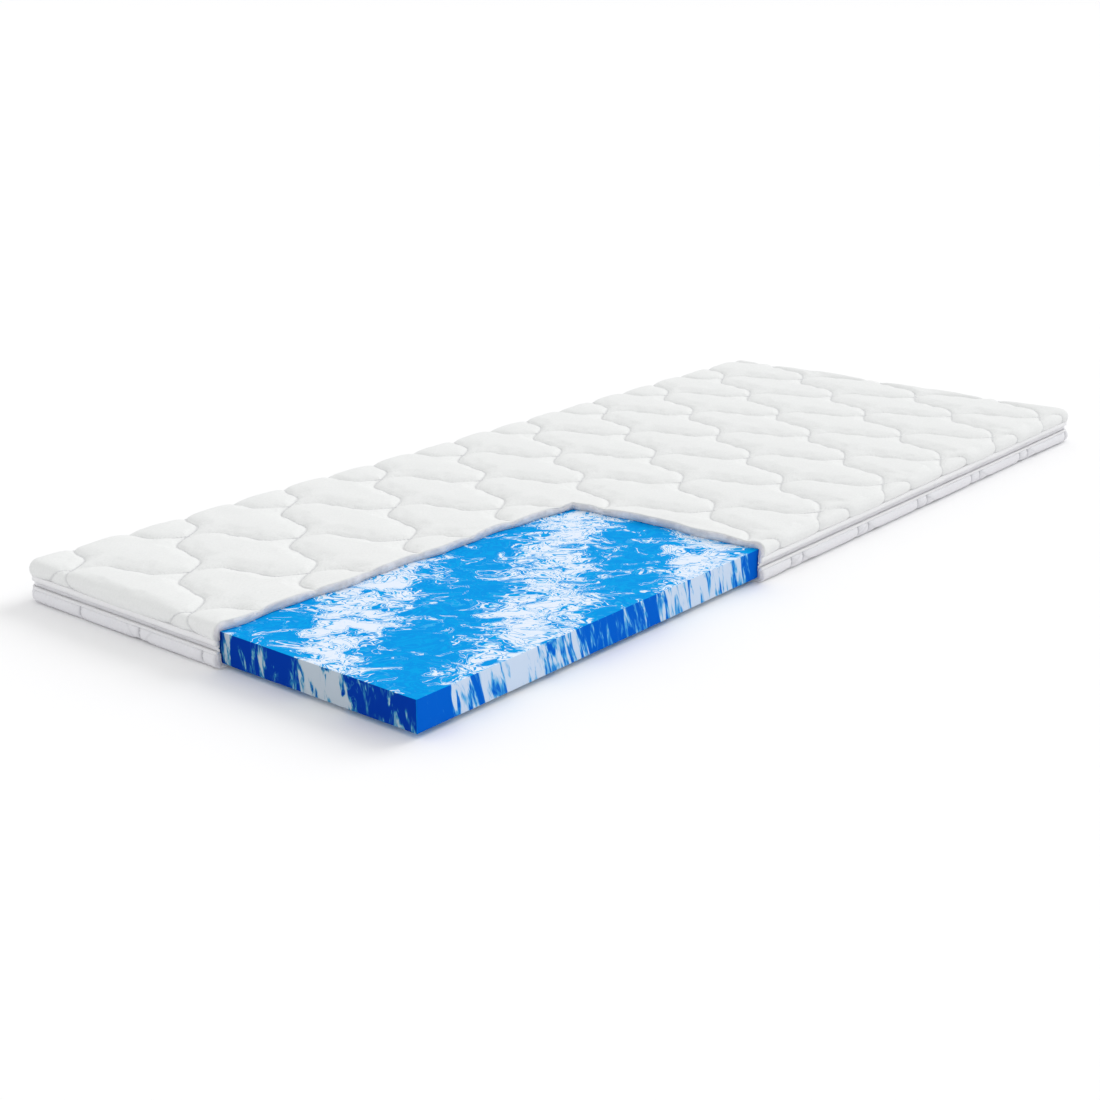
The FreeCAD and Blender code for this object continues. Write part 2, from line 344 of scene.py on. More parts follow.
def upperPuff(u, v, dome=None):
    # height of the upper face over its nominal surface. A groove is one less a falling exponential
    # of the distance to the stitches; the square root of the blown dome rounds what lies between.
    away = fromStitches(u, v, *upperKnots)
    groove = 1 - np.exp(-((away / quilting["pinch"]) ** 1.1))
    rise = groove if dome is None else 0.55 * groove + 0.45 * np.sqrt(np.clip(dome, 0, 1.1))
    s, _ = upperWrap.beyond(u, v)
    fromCut = np.maximum(u - cutX, v - cutY)
    sprung = 1 - quilting["nearCut"] * (1 - smoothStep(fromCut, 0, 32 * mm))
    depth = quilting["depth"] * (1 - 0.5 * smoothStep(s, 0, upperWrap.rounding * 1.5)) * sprung
    tuck = 1.4 * mm * np.exp(-(upperWrap.reach - s) / (3 * mm))
    lumps = 0.3 * mm * ripples(u, v, 3, 9, 60 * mm) * groove
    return -depth * (1 - rise) - tuck + lumps + swelling(upperWrap, u, v)


pinching = {
    "pair": 34 * mm,            # two upright lines this far apart
    "from": -88.4 * mm,
    "every": 206.2 * mm,
    "endEvery": 135.2 * mm,     # single lines on the short walls
    "width": 4.2 * mm,
    "depth": 5.0 * mm,
    "inset": 1 * mm,            # from the seam to the first stitch
    "height": 14 * mm,
}


def fromPinches(u, v):
    # distance to the nearest upright pinched line on the lower wall, measured along the wall
    onLong = np.abs(v) - lowerWrap.halfY >= np.abs(u) - lowerWrap.halfX
    every = np.where(onLong, pinching["every"], pinching["endEvery"])
    along = np.where(onLong, u - pinching["from"], v)
    nearest = np.abs((along + every / 2) % every - every / 2)
    return np.where(onLong, np.abs(nearest - pinching["pair"] / 2), nearest)


def pinchPlaces(first, every, pair, half):
    # the places of pinched lines along a wall: one at each pitch, or a pair about it
    reach = int(half / every) + 1
    middles = first + np.arange(-reach, reach + 1) * every
    places = np.concatenate([middles - pair / 2, middles + pair / 2]) if pair else middles
    return places[np.abs(places) < half]


def lowerWall(u, v):
    # 0 on the underside and 1 on the wall
    s, _ = lowerWrap.beyond(u, v)
    flat, rounding = lowerWrap.flat, lowerWrap.rounding
    return smoothStep(s, flat + rounding * 0.3, flat + rounding * 1.3)


def lowerPuff(u, v):
    # the lower face is quilted too, and its wall is pinched by upright stitches in pairs; each
    # groove is a falling exponential of the distance to its stitches
    s, _ = lowerWrap.beyond(u, v)
    onWall = lowerWall(u, v)
    under = np.exp(-((fromStitches(u, v, *lowerKnots) / (6 * mm)) ** 1.2)) * 2.6 * mm * (1 - onWall)
    pinched = np.exp(-((fromPinches(u, v) / pinching["width"]) ** 1.2)) * pinching["depth"] * onWall
    tuck = 1.2 * mm * np.exp(-(lowerWrap.reach - s) / (3 * mm))
    return -under - pinched - tuck + swelling(lowerWrap, u, v)


# Finishes: shader maths written as sums on sockets


class Wire:
    # an output socket that can be added, multiplied and so on; each sum adds its Math node
    def __init__(self, finish, socket):
        self.finish, self.socket = finish, socket

    def maths(self, operation, *values):
        return self.finish.node("ShaderNodeMath", {"operation": operation}, dict(enumerate(values)))

    def __add__(self, other): return self.maths("ADD", self, other)
    def __radd__(self, other): return self.maths("ADD", other, self)
    def __sub__(self, other): return self.maths("SUBTRACT", self, other)
    def __rsub__(self, other): return self.maths("SUBTRACT", other, self)
    def __mul__(self, other): return self.maths("MULTIPLY", self, other)
    def __rmul__(self, other): return self.maths("MULTIPLY", other, self)
    def __truediv__(self, other): return self.maths("DIVIDE", self, other)
    def __pow__(self, other): return self.maths("POWER", self, other)
    def __mod__(self, other): return self.maths("FLOORED_MODULO", self, other)
    def __abs__(self): return self.maths("ABSOLUTE", self)
    def sine(self): return self.maths("SINE", self)
    def cosine(self): return self.maths("COSINE", self)
    def floor(self): return self.maths("FLOOR", self)
    def least(self, other): return self.maths("MINIMUM", self, other)
    def root(self): return self.maths("SQRT", self)

    def between(self, low, high, start=0.0, end=1.0):
        values = {"Value": self, "From Min": low, "From Max": high, "To Min": start, "To Max": end}
        return self.finish.node("ShaderNodeMapRange", {"interpolation_type": "SMOOTHSTEP"}, values)


class Finish:
    # one material: a Principled shader and the nodes that feed it
    def __init__(self, name, **fixed):
        self.material = bpy.data.materials.new(name)
        self.material.use_nodes = True
        self.nodes = self.material.node_tree.nodes
        self.links = self.material.node_tree.links
        self.shader = self.nodes["Principled BSDF"]
        for socket, value in fixed.items():
            self.shader.inputs[socket.replace("_", " ")].default_value = value

    def node(self, kind, settings=None, values=None, output=0):
        made = self.nodes.new(kind)
        for name, value in (settings or {}).items():
            setattr(made, name, value)
        for key, value in (values or {}).items():
            if isinstance(value, Wire):
                self.links.new(value.socket, made.inputs[key])
            else:
                made.inputs[key].default_value = value
        return Wire(self, made.outputs[output])

    def feed(self, socket, wire):
        self.links.new(wire.socket, self.shader.inputs[socket])

    def place(self, source="Object"):
        if source == "Object":
            return self.node("ShaderNodeTexCoord", output="Object")
        return self.node("ShaderNodeUVMap", {"uv_map": source})

    def parts(self, vector):
        return [self.node("ShaderNodeSeparateXYZ", None, {0: vector}, axis) for axis in range(3)]

    def vector(self, x, y, z):
        return self.node("ShaderNodeCombineXYZ", None, {0: x, 1: y, 2: z})

    def scaled(self, vector, sizes):
        return self.node("ShaderNodeVectorMath", {"operation": "MULTIPLY"}, {0: vector, 1: sizes})

    def shifted(self, vector, other):
        return self.node("ShaderNodeVectorMath", {"operation": "ADD"}, {0: vector, 1: other})

    def noise(self, vector, scale, detail=2.0, rough=0.5, twist=0.0, output=0):
        values = {"Vector": vector, "Scale": scale, "Detail": detail, "Roughness": rough}
        return self.node("ShaderNodeTexNoise", None, {**values, "Distortion": twist}, output)

    def mix(self, share, first, second):
        # a colour between two, the socket numbers being those of a colour Mix node
        return self.node("ShaderNodeMix", {"data_type": "RGBA"}, {0: share, 6: first, 7: second}, 2)

    def bump(self, height, strength, distance, under=None):
        values = {"Height": height, "Strength": strength, "Distance": distance}
        if under is not None:
            values["Normal"] = under
        return self.node("ShaderNodeBump", None, values)


def rgb(r, g, b):
    return (r, g, b, 1.0)


def stitchDistance(x, y, knots):
    # the same distance as fromStitches, worked out at every point of the cloth
    q = quilting
    rows = (knots[1] - y) / q["row"]
    row = rows.floor()
    share = rows - row
    half = q["cell"] / 2
    middle = knots[0] + (row % 2.0) * half
    once, twice = share * turn, share * (2 * turn)
    swayed = (share + once.sine() * q["swayOnce"] + twice.sine() * q["swayTwice"]) * half
    slope = 1 + once.cosine() * (q["swayOnce"] * turn) + twice.cosine() * (q["swayTwice"] * 2 * turn)
    steep = (1 + (slope * (half / q["row"])) ** 2.0).root()
    first = abs((x - middle - swayed + half) % q["cell"] - half)
    second = abs((x - middle + swayed + half) % q["cell"] - half)
    return first.least(second) / steep


def knitFinish(name, white, shade, knots):
    # soft knit: rows of small loops, faint tufts, and the dimple that each stitched line pulls; painted
    # shade darkens the colour along the stitched lines and in the pinched creases
    f = Finish(name, Roughness=0.88, Sheen_Weight=0.15, Sheen_Roughness=0.5, Specular_IOR_Level=0.25)
    cloth = f.place("cloth")
    x, y, _ = f.parts(cloth)
    loops = (x * (turn / 0.0019)).sine() * (y * (turn / 0.0026)).sine()
    fuzz = f.noise(cloth, 1100, 2)
    tufts = f.noise(f.scaled(cloth, (1.0, 1.6, 1.0)), 210, 3, 0.6, 0.8)
    away = stitchDistance(x, y, knots)
    dimple = away.between(0, 0.0035)
    creased = f.node("ShaderNodeAttribute", {"attribute_name": "creased"}, None, "Fac")
    pucker = f.noise(cloth, 95, 2, 0.6, 0.4) * away.between(0.0, 0.028, 1, 0)
    mottled = f.mix(tufts.between(0.3, 0.7, 0.28, 0.0), white, shade)
    # painted shade: the colour darkens towards the shade colour along each stitched line
    stitchShaded = f.mix(dimple.between(0, 1, 0.6, 0.0), mottled, shade)
    # painted shade: the colour darkens further in the pinched creases on the lower wall
    f.feed("Base Color", f.mix(creased * 0.9, stitchShaded, f.scaled(shade[:3], (0.62, 0.62, 0.64))))
    fine = f.bump(loops * 0.35 + fuzz * 0.5, 0.4, 0.0006)
    broad = f.bump(tufts * 0.5 + pucker * 1.2 + dimple * 0.45, 0.5, 0.002, fine)
    f.feed("Normal", broad)
    return f.material


def waddingFinish():
    # fluffy fibre: fine tangled streaks in a pale lilac grey
    f = Finish("fluffyWadding", Roughness=0.95, Sheen_Weight=0.4)
    spot = f.place()
    tangle = f.noise(f.scaled(spot, (1.0, 1.0, 2.6)), 260, 4, 0.7, 1.5)
    strands = f.noise(f.scaled(spot, (1.0, 1.0, 0.35)), 900, 2, 0.6, 0.8)
    clumps = f.noise(spot, 60, 2)
    tone = f.mix(clumps.between(0.35, 0.65), rgb(0.71, 0.70, 0.73), rgb(0.86, 0.85, 0.88))
    f.feed("Base Color", f.mix(tangle.between(0.3, 0.55, 0.45, 0.0), tone, rgb(0.60, 0.60, 0.65)))
    f.feed("Normal", f.bump(tangle + strands * 0.4, 0.8, 0.002))
    return f.material


def fleeceFinish():
    f = Finish("backingFleece", Roughness=0.95)
    spot = f.place()
    felt = f.noise(spot, 420, 3, 0.65, 1.0)
    f.feed("Base Color", f.mix(felt, rgb(0.62, 0.62, 0.67), rgb(0.82, 0.82, 0.86)))
    f.feed("Normal", f.bump(felt, 0.4, 0.0008))
    return f.material


def wovenFinish(name, light, dark, rib, cross, sheen=0.1):
    # woven tape on its own cloth coordinates: x runs along the tape and y across it
    f = Finish(name, Roughness=0.72, Sheen_Weight=sheen)
    x, y, _ = f.parts(f.place("cloth"))
    slant = ((x + abs(y % (2 * cross) - cross) * 0.8) * (turn / rib)).sine()
    warp = (y * (turn / (cross / 3))).sine()
    thread = slant * 0.6 + warp * 0.4
    f.feed("Base Color", f.mix(thread.between(-1, 1, 0.35, 0.0), light, dark))
    f.feed("Normal", f.bump(thread, 0.45, 0.0004))
    return f.material


def threadFinish():
    f = Finish("sewingThread", Roughness=0.5, Sheen_Weight=0.2)
    x, y, z = f.parts(f.place())
    twist = ((x + y * 0.7 + z * 1.3) * (turn / 0.0011)).sine()
    f.feed("Base Color", f.mix(twist.between(-1, 1), rgb(0.74, 0.74, 0.77), rgb(0.9, 0.9, 0.92)))
    f.feed("Normal", f.bump(twist, 0.4, 0.0002))
    return f.material


def coilFinish():
    f = Finish("nylonCoil", Roughness=0.38)
    spot = f.place()
    scuff = f.noise(spot, 700, 2)
    f.feed("Base Color", f.mix(scuff, rgb(0.86, 0.86, 0.89), rgb(0.94, 0.94, 0.96)))
    f.feed("Roughness", scuff.between(0.2, 0.8, 0.3, 0.5))
    return f.material


def nickelFinish():
    f = Finish("satinNickel", Metallic=1.0)
    spot = f.place()
    brushed = f.noise(f.scaled(spot, (1.0, 1.0, 14.0)), 500, 2)
    f.feed("Base Color", f.mix(brushed, rgb(0.55, 0.55, 0.56), rgb(0.75, 0.75, 0.75)))
    f.feed("Roughness", brushed.between(0.2, 0.8, 0.28, 0.45))
    f.feed("Normal", f.bump(brushed, 0.15, 0.0001))
    return f.material


def labelFinish():
    f = Finish("labelSatin", Roughness=0.35)
    x, _, z = f.parts(f.place())
    weft = (z * (turn / 0.0009)).sine() * 0.5 + (x * (turn / 0.0006)).sine() * 0.5
    f.feed("Base Color", f.mix(weft.between(-1, 1), rgb(0.86, 0.86, 0.86), rgb(0.95, 0.95, 0.95)))
    f.feed("Normal", f.bump(weft, 0.3, 0.0002))
    return f.material


foamLook = {
    "azure": rgb(0.0, 0.292, 0.76),
    "ripple": rgb(0.0, 0.40, 0.81),
    "pale": rgb(0.76, 0.83, 0.94),
    "tint": rgb(0.13, 0.56, 0.88),          # where the two colours meet
    "endShadedBlue": rgb(0.0, 0.036, 0.34),       # cut ends painted deepest and long sides a little less: darker copies of the colours as painted shade
    "endShadedPale": rgb(0.46, 0.53, 0.60),
    "endShadedTint": rgb(0.04, 0.28, 0.46),
    "sideShadedBlue": rgb(0.0, 0.115, 0.61),
    "sideShadedPale": rgb(0.58, 0.69, 0.85),
    "sideShadedTint": rgb(0.06, 0.40, 0.76),
    "bandWidth": 0.205,         # from one pale band to the next
    "bandStart": -0.397,
    "curlScale": 33,
    "rings": 15,                # how closely the thin curls follow one another
    "stretch": 0.13,            # curls are drawn out upwards, so walls show tall streaks
    "lean": 0.30,               # and they lean as they rise
}


def foamFinish():
    # foam poured in two colours and stirred: pale curls in slanting bands across a strong blue; the walls
    # are darkened with painted shade
    look = foamLook
    f = Finish("marbledFoam", Roughness=0.85, Specular_IOR_Level=0.03)
    spot = f.place()
    x, y, z = f.parts(spot)
    leaning = f.vector(x + z * look["lean"], y - z * (look["lean"] * 0.5), z * look["stretch"])
    # the stirring: places are pushed about by a broad swirl, then by a middling and a small one
    broad = f.noise(leaning, 9, 1, output=1)
    drawn = f.shifted(leaning, f.scaled(broad, (0.085, 0.085, 0.02)))
    dx, dy, dz = f.parts(drawn)
    combed = f.vector((dx * 0.637 - dy * 0.771) * 0.75, (dx * 0.771 + dy * 0.637) * 1.15, dz)
    middling = f.noise(combed, 33, 1, 0.5, output=1)
    turned = f.shifted(combed, f.scaled(middling, (0.062, 0.062, 0.012)))
    small = f.noise(turned, 85, 1, 0.5, output=1)
    stirred = f.shifted(turned, f.scaled(small, (0.019, 0.019, 0.004)))
    curls = f.noise(stirred, look["curlScale"], 2.5, 0.5)
    # how far across the bands a place lies; the bands wander and their edges fray
    wander = f.noise(leaning, 4.5, 2)
    across = x * 0.482 - y * 0.775 - 0.1245 + wander * 0.09 - 0.045
    band = ((across - look["bandStart"]) * (turn / look["bandWidth"])).cosine()
    height = curls + band * 0.15
    # which way a place faces: walls get streaks, and darker colours as painted shade
    facing = f.node("ShaderNodeTexCoord", output="Normal")
    towardX, towardY, _ = f.parts(facing)
    onEnd, onSide = abs(towardX).between(0.6, 0.85), abs(towardY).between(0.6, 0.85)
    # thin rings follow the curls' outlines, blue on the pale side and paler on the blue side
    ring = (height * (turn * look["rings"])).sine()
    # cut walls show soft upright streaks in place of curls
    onWall = onEnd + onSide
    streaks = f.noise(leaning, 90, 3, 0.65, 0.5)
    soft = (height + streaks * 0.7 - 0.35).between(0.43, 0.66)
    share = height.between(0.535, 0.565) * (1 - onWall) + soft * onWall
    fewer = 1 - onWall * 0.8
    thinBlue = ring.between(0.3, 0.8) * height.between(0.8, 0.66) * fewer
    thinPale = ring.between(0.35, 0.9) * height.between(0.38, 0.5) * fewer
    pale = share * (1 - thinBlue * 0.85) + (1 - share) * thinPale * 0.8
    ground = f.mix((curls * (turn * 9)).sine().between(0.0, 1.0, 0.0, 0.55), look["azure"], look["ripple"])
    # painted shade: end walls and side walls take darker copies of the blue, pale and tint colours
    blue = f.mix(onSide, f.mix(onEnd, ground, look["endShadedBlue"]), look["sideShadedBlue"])
    white = f.mix(onSide, f.mix(onEnd, look["pale"], look["endShadedPale"]), look["sideShadedPale"])
    between = f.mix(onSide, f.mix(onEnd, look["tint"], look["endShadedTint"]), look["sideShadedTint"])
    edged = f.mix(pale.between(0.0, 0.5), blue, between)
    f.feed("Base Color", f.mix(pale.between(0.3, 0.85), edged, white))
    cells = f.noise(spot, 1400, 2, 0.6)
    f.feed("Normal", f.bump(cells, 0.35, 0.0006))
    return f.material


finishes = {
    "knitUpper": knitFinish("quiltKnit", rgb(0.815, 0.825, 0.82), rgb(0.69, 0.70, 0.70), upperKnots),
    "knitLower": knitFinish("lowerKnit", rgb(0.79, 0.79, 0.82), rgb(0.68, 0.68, 0.71), lowerKnots),
    "wadding": waddingFinish(),
    "fleece": fleeceFinish(),
    "binding": wovenFinish("bindingTape", rgb(0.90, 0.90, 0.91), rgb(0.74, 0.74, 0.77), 1.6 * mm, 2.4 * mm),
    "zipTape": wovenFinish("zipTape", rgb(0.93, 0.93, 0.95), rgb(0.80, 0.80, 0.85), 1.2 * mm, 1.5 * mm),
    "thread": threadFinish(),
    "coil": coilFinish(),
    "nickel": nickelFinish(),
    "label": labelFinish(),
    "foam": foamFinish(),
}
print("finishes made:", len(finishes))


# Camera, floor and light

view = {
    "azimuth": -50.46,
    "elevation": 18.14,
    "distance": 2.7185,
    "lens": 54.9,
    "aim": (-0.2847, -0.111),   # as shares of the half length and half width
}


def makeCamera():
    camera = bpy.data.objects.new("camera", bpy.data.cameras.new("camera"))
    bpy.context.scene.collection.objects.link(camera)
    azimuth, elevation = math.radians(view["azimuth"]), math.radians(view["elevation"])
    level = math.cos(elevation)
    back = np.array([math.sin(azimuth) * level, -math.cos(azimuth) * level, math.sin(elevation)])
    aim = np.array([view["aim"][0] * halfLength, view["aim"][1] * halfWidth, 0])
    camera.location = aim + view["distance"] * back
    camera.rotation_euler = (math.pi / 2 - elevation, 0, azimuth)
    camera.data.lens = view["lens"]
    camera.data.sensor_width = 36
    camera.data.clip_end = 1200
    bpy.context.scene.camera = camera


def makeStage():
    # a flat floor that rises gently far away: rings of points, each at a distance and a height
    reach = np.array([0.001, 4, 200, 225, 255, 290, 330])
    rise = np.array([0.0, 0, 0, 2, 9, 24, 50])
    angle = np.arange(64) / 64 * turn
    ring = np.stack([np.cos(angle), np.sin(angle), np.zeros(64)], 1)
    points = reach[:, None, None] * ring + np.stack([0 * rise, 0 * rise, rise], 1)[:, None]
    index = np.arange(points.shape[0] * 64).reshape(-1, 64)
    floor = makePiece("floor", points.reshape(-1, 3), ringQuads(index)[:, ::-1])
    f = Finish("paleFloor", Roughness=0.9, Specular_IOR_Level=0.2)
    speck = f.noise(f.place(), 3, 1)
    f.feed("Base Color", f.mix(speck, rgb(0.93, 0.93, 0.935), rgb(0.945, 0.945, 0.95)))
    floor.data.materials.append(f.material)


studio = {
    "keyStrength": 1.2,
    "keySpread": 40,            # degrees across, so that its shadows are soft
    "keyHeight": 33,            # degrees above the floor
    "keySide": -8,              # degrees round from the +X end
    "room": 0.87,               # even light from all round
}


def makeLight():
    lamp = bpy.data.lights.new("keyLight", "SUN")
    lamp.energy = studio["keyStrength"]
    lamp.angle = math.radians(studio["keySpread"])
    key = bpy.data.objects.new("keyLight", lamp)
    bpy.context.scene.collection.objects.link(key)
    key.rotation_euler = (0, math.radians(90 - studio["keyHeight"]), math.radians(studio["keySide"]))
    room = bpy.data.worlds.new("room")
    bpy.context.scene.world = room
    room.use_nodes = True
    sky = room.node_tree.nodes["Background"].inputs
    sky["Color"].default_value = rgb(1.0, 1.0, 1.0)
    sky["Strength"].default_value = studio["room"]


makeCamera()
makeStage()
makeLight()
bpy.context.scene.view_settings.view_transform = "Standard"
print("camera, floor and light set")


# Foam core

coreShape = {"edge": 1.3 * mm, "corner": 3 * mm, "grid": 9 * mm, "wobble": 0.35 * mm}


def foamCore():
    # two flat sheets bent over a tight edge meet halfway up the wall; a cut foam block is a little uneven
    middle = (coreLow[2] + coreHigh[2]) / 2
    size = coreHigh - coreLow
    edge, corner = coreShape["edge"], coreShape["corner"]
    wall = size[2] / 2 - edge
    halves = [size[0] / 2 - corner, size[1] / 2 - corner]
    flat = corner - edge
    quarter = edge * math.pi / 2
    overEdge, downWall = quarter * np.linspace(0.25, 1, 4), wall * np.linspace(0.2, 1, 5)
    past = np.concatenate([[0, flat], flat + overEdge, flat + quarter + downWall])
    marks = []
    for half in halves:
        inner = gridLines(-half, half, coreShape["grid"], [])
        marks.append(np.concatenate([-(half + past[:0:-1]), inner, half + past[1:]]))
    u, v = np.meshgrid(*marks, indexing="ij")
    s, angle = pastFlat(u, v, *halves)
    bend = np.clip((s - flat) / edge, 0, math.pi / 2)
    drop = np.maximum(s - flat - quarter, 0)
    sheets = []
    for up in (1, -1):
        uneven = coreShape["wobble"] * ripples(u, v, 11, 7, 130 * mm)
        out = np.minimum(s, flat) + (edge - np.abs(uneven) * 0.5) * np.sin(bend)
        fall = edge * (1 - np.cos(bend)) + drop + np.abs(uneven) * np.cos(bend)
        x = np.sign(u) * (np.minimum(np.abs(u), halves[0]) + out * np.cos(angle))
        y = np.sign(v) * (np.minimum(np.abs(v), halves[1]) + out * np.sin(angle))
        z = middle + up * (size[2] / 2 - np.minimum(fall, size[2] / 2))
        sheets.append(np.stack([x, y, z], -1))
    sheets[1][[0, -1], :] = sheets[0][[0, -1], :]
    sheets[1][:, [0, -1]] = sheets[0][:, [0, -1]]
    rows, cols = u.shape
    index = np.arange(rows * cols).reshape(rows, cols)
    below = index + rows * cols
    below[[0, -1], :], below[:, [0, -1]] = index[[0, -1], :], index[:, [0, -1]]
    points = np.concatenate([sheet.reshape(-1, 3) for sheet in sheets])
    quads = np.concatenate([gridQuads(index), gridQuads(below)[:, ::-1]])
    return makePiece("foamCoreBlock", points, quads)


core = foamCore()
place(core, "core", "gel_memory_foam", ["foam_core"], finishes["foam"])
print("foam core made")


# Quilted cover halves

cover = {
    "grid": 4.1 * mm,
    "waddingGrid": 8 * mm,
    "face": 1.2 * mm,
    "lip": 1.6 * mm,            # how far the face fabric's raw edge turns in at the cut
    "fleece": 0.8 * mm,
    "bulge": 2.2 * mm,          # how far the wadding swells out of the cut
}


blowing = {
    "grid": 9 * mm,
    "frames": 16,
    "quality": 4,
    "mass": 0.12,
    "stretch": 9,               # stiffness along the threads, across them and in bending
    "shear": 3,
    "bend": 0.25,
    "pressure": 3.0,
    "spare": 0.008,             # how much more cloth there is than the flat needs, which puckers
    "highest": 1.8 * mm,        # caps on how far the cloth may move outwards, inwards and sideways
    "lowest": 0.8 * mm,
    "sideways": 1.5 * mm,
}


def blownCloth():
    # Blender's Cloth fills the face like a skin: stitched lines, seam and cut are held, and the
    # fill pushes outwards. Gives the grid lines and how far each of their crossings has moved.
    u, v, keep = upperWrap.lines(blowing["grid"])
    lines = u[:, 0].copy(), v[0].copy()
    u, v = wanderCut(u, v)
    start = upperWrap.point(u, v, upperPuff(u, v))
    points, quads = joinSheets([start], keep, openInside=True)
    used = np.unique(quads)
    sheet = makePiece("clothTrial", points, quads)
    s, _ = upperWrap.beyond(u, v)
    held = np.exp(-((fromStitches(u, v, *upperKnots) / (5 * mm)) ** 2))
    edge = np.minimum(upperWrap.reach - s, np.maximum(u - cutX, v - cutY))
    held = np.maximum(held, 1 - smoothStep(edge, 2 * mm, 16 * mm)).ravel()[used]
    group = sheet.vertex_groups.new(name="held")
    for place, weight in enumerate(held):
        group.add([place], float(weight), "REPLACE")
    cloth = sheet.modifiers.new("cloth", "CLOTH")
    settings = cloth.settings
    settings.quality = blowing["quality"]
    settings.mass = blowing["mass"]
    settings.tension_stiffness = settings.compression_stiffness = blowing["stretch"]
    settings.shear_stiffness = blowing["shear"]
    settings.bending_stiffness = blowing["bend"]
    settings.vertex_group_mass = "held"
    settings.use_pressure = True
    settings.uniform_pressure_force = blowing["pressure"]
    settings.shrink_min = -blowing["spare"]
    settings.effector_weights.gravity = 0
    cloth.collision_settings.use_collision = False
    cloth.point_cache.frame_start, cloth.point_cache.frame_end = 1, blowing["frames"]
    for frameNumber in range(1, blowing["frames"] + 1):
        bpy.context.scene.frame_set(frameNumber)
    settled = sheet.evaluated_get(bpy.context.evaluated_depsgraph_get()).to_mesh()
    after = np.empty(len(used) * 3)
    settled.vertices.foreach_get("co", after)
    moved = np.zeros((u.size, 3))
    moved[used] = after.reshape(-1, 3) - points[used]
    bpy.context.scene.frame_set(1)
    bpy.data.objects.remove(sheet)
    return *lines, moved.reshape(*u.shape, 3)


def spread(marks, finer):
    # weights that carry values on one set of grid lines to a finer set, straight between them
    right = np.clip(np.searchsorted(marks, finer), 1, len(marks) - 1)
    share = np.clip((finer - marks[right - 1]) / (marks[right] - marks[right - 1]), 0, 1)
    weights = np.zeros((len(finer), len(marks)))
    rows = np.arange(len(finer))
    weights[rows, right - 1], weights[rows, right] = 1 - share, share
    return weights


def settle(u, v, lineU, lineV, sheet, outward):
    # adds the cloth's movement to the finer face, capped, and none at the stitches and edges
    trialU, trialV, moved = blownCloth()
    fine = np.einsum("ai,ijk,bj->abk", spread(trialU, lineU), moved, spread(trialV, lineV), optimize=True)
    up = (fine * outward).sum(-1, keepdims=True)
    side = fine - up * outward
    length = np.linalg.norm(side, axis=-1, keepdims=True)
    side = side * np.minimum(1, blowing["sideways"] / np.maximum(length, 1e-9))
    up = np.clip(up, -blowing["lowest"], blowing["highest"])
    s, _ = upperWrap.beyond(u, v)
    edge = np.minimum(upperWrap.reach - s, np.maximum(u - cutX, v - cutY))
    free = 1 - np.exp(-((fromStitches(u, v, *upperKnots) / (4 * mm)) ** 2))
    free = (free * smoothStep(edge, 2 * mm, 24 * mm))[..., None]
    print("cloth moved out by", np.round(np.quantile(up / mm, [0.05, 0.5, 0.95]), 2), "mm")
    return sheet + (up * outward + side) * free


def upperFace():
    u, v, keep = upperWrap.lines(cover["grid"])
    lineU, lineV = u[:, 0].copy(), v[0].copy()
    u, v = wanderCut(u, v)
    dome = domes(fromStitches(u, v, *upperKnots), cover["grid"], 900)
    off = upperPuff(u, v, dome)
    sheet = upperWrap.point(u, v, off)
    lip = upperWrap.point(u, v, off - cover["lip"])
    outward = (sheet - lip) / cover["lip"]
    moved = settle(u, v, lineU, lineV, sheet, outward)
    sheet, lip = moved, lip + moved - sheet
    points, quads = joinSheets([sheet, lip], keep, openInside=True)
    cloth = np.tile(np.stack([u.ravel(), v.ravel()], 1), (2, 1))
    piece = makePiece("upperQuiltFace", points, quads, cloth)
    place(piece, "top_cover", "cover_knit_upper", ["top_face_fabric"], finishes["knitUpper"])
    return piece


def lowerFace():
    # grid lines gather at the pinched places, so that the folds there come out sharp
    gather = np.array([-7, -4.2, -2.4, -1, 0, 1, 2.4, 4.2, 7]) * mm
    onLong = pinchPlaces(pinching["from"], pinching["every"], pinching["pair"], lowerWrap.halfX - 8 * mm)
    onEnds = pinchPlaces(0, pinching["endEvery"], 0, lowerWrap.halfY - 8 * mm)
    extra = [(places[:, None] + gather).ravel() for places in (onLong, onEnds)]
    u, v, keep = lowerWrap.lines(8 * mm, 3 * mm, extra)
    u, v = wanderCut(u, v)
    off = lowerPuff(u, v)
    # how deep in a pinched line each point lies; the knit finish darkens the colour there as painted shade
    creased = np.exp(-((fromPinches(u, v) / (1.5 * mm)) ** 2)) * lowerWall(u, v)
    sheet = lowerWrap.point(u, v, off)
    lip = lowerWrap.point(u, v, off - cover["lip"])
    points, quads = joinSheets([sheet, lip], keep, flip=True, openInside=True)
    cloth = np.tile(np.stack([u.ravel(), v.ravel()], 1), (2, 1))
    piece = makePiece("lowerQuiltFace", points, quads, cloth, creased=np.tile(creased.ravel(), 2))
    print("lower face quads:", len(quads))
    place(piece, "bottom_cover", "cover_knit_lower", ["bottom_face_fabric"], finishes["knitLower"])
    return piece


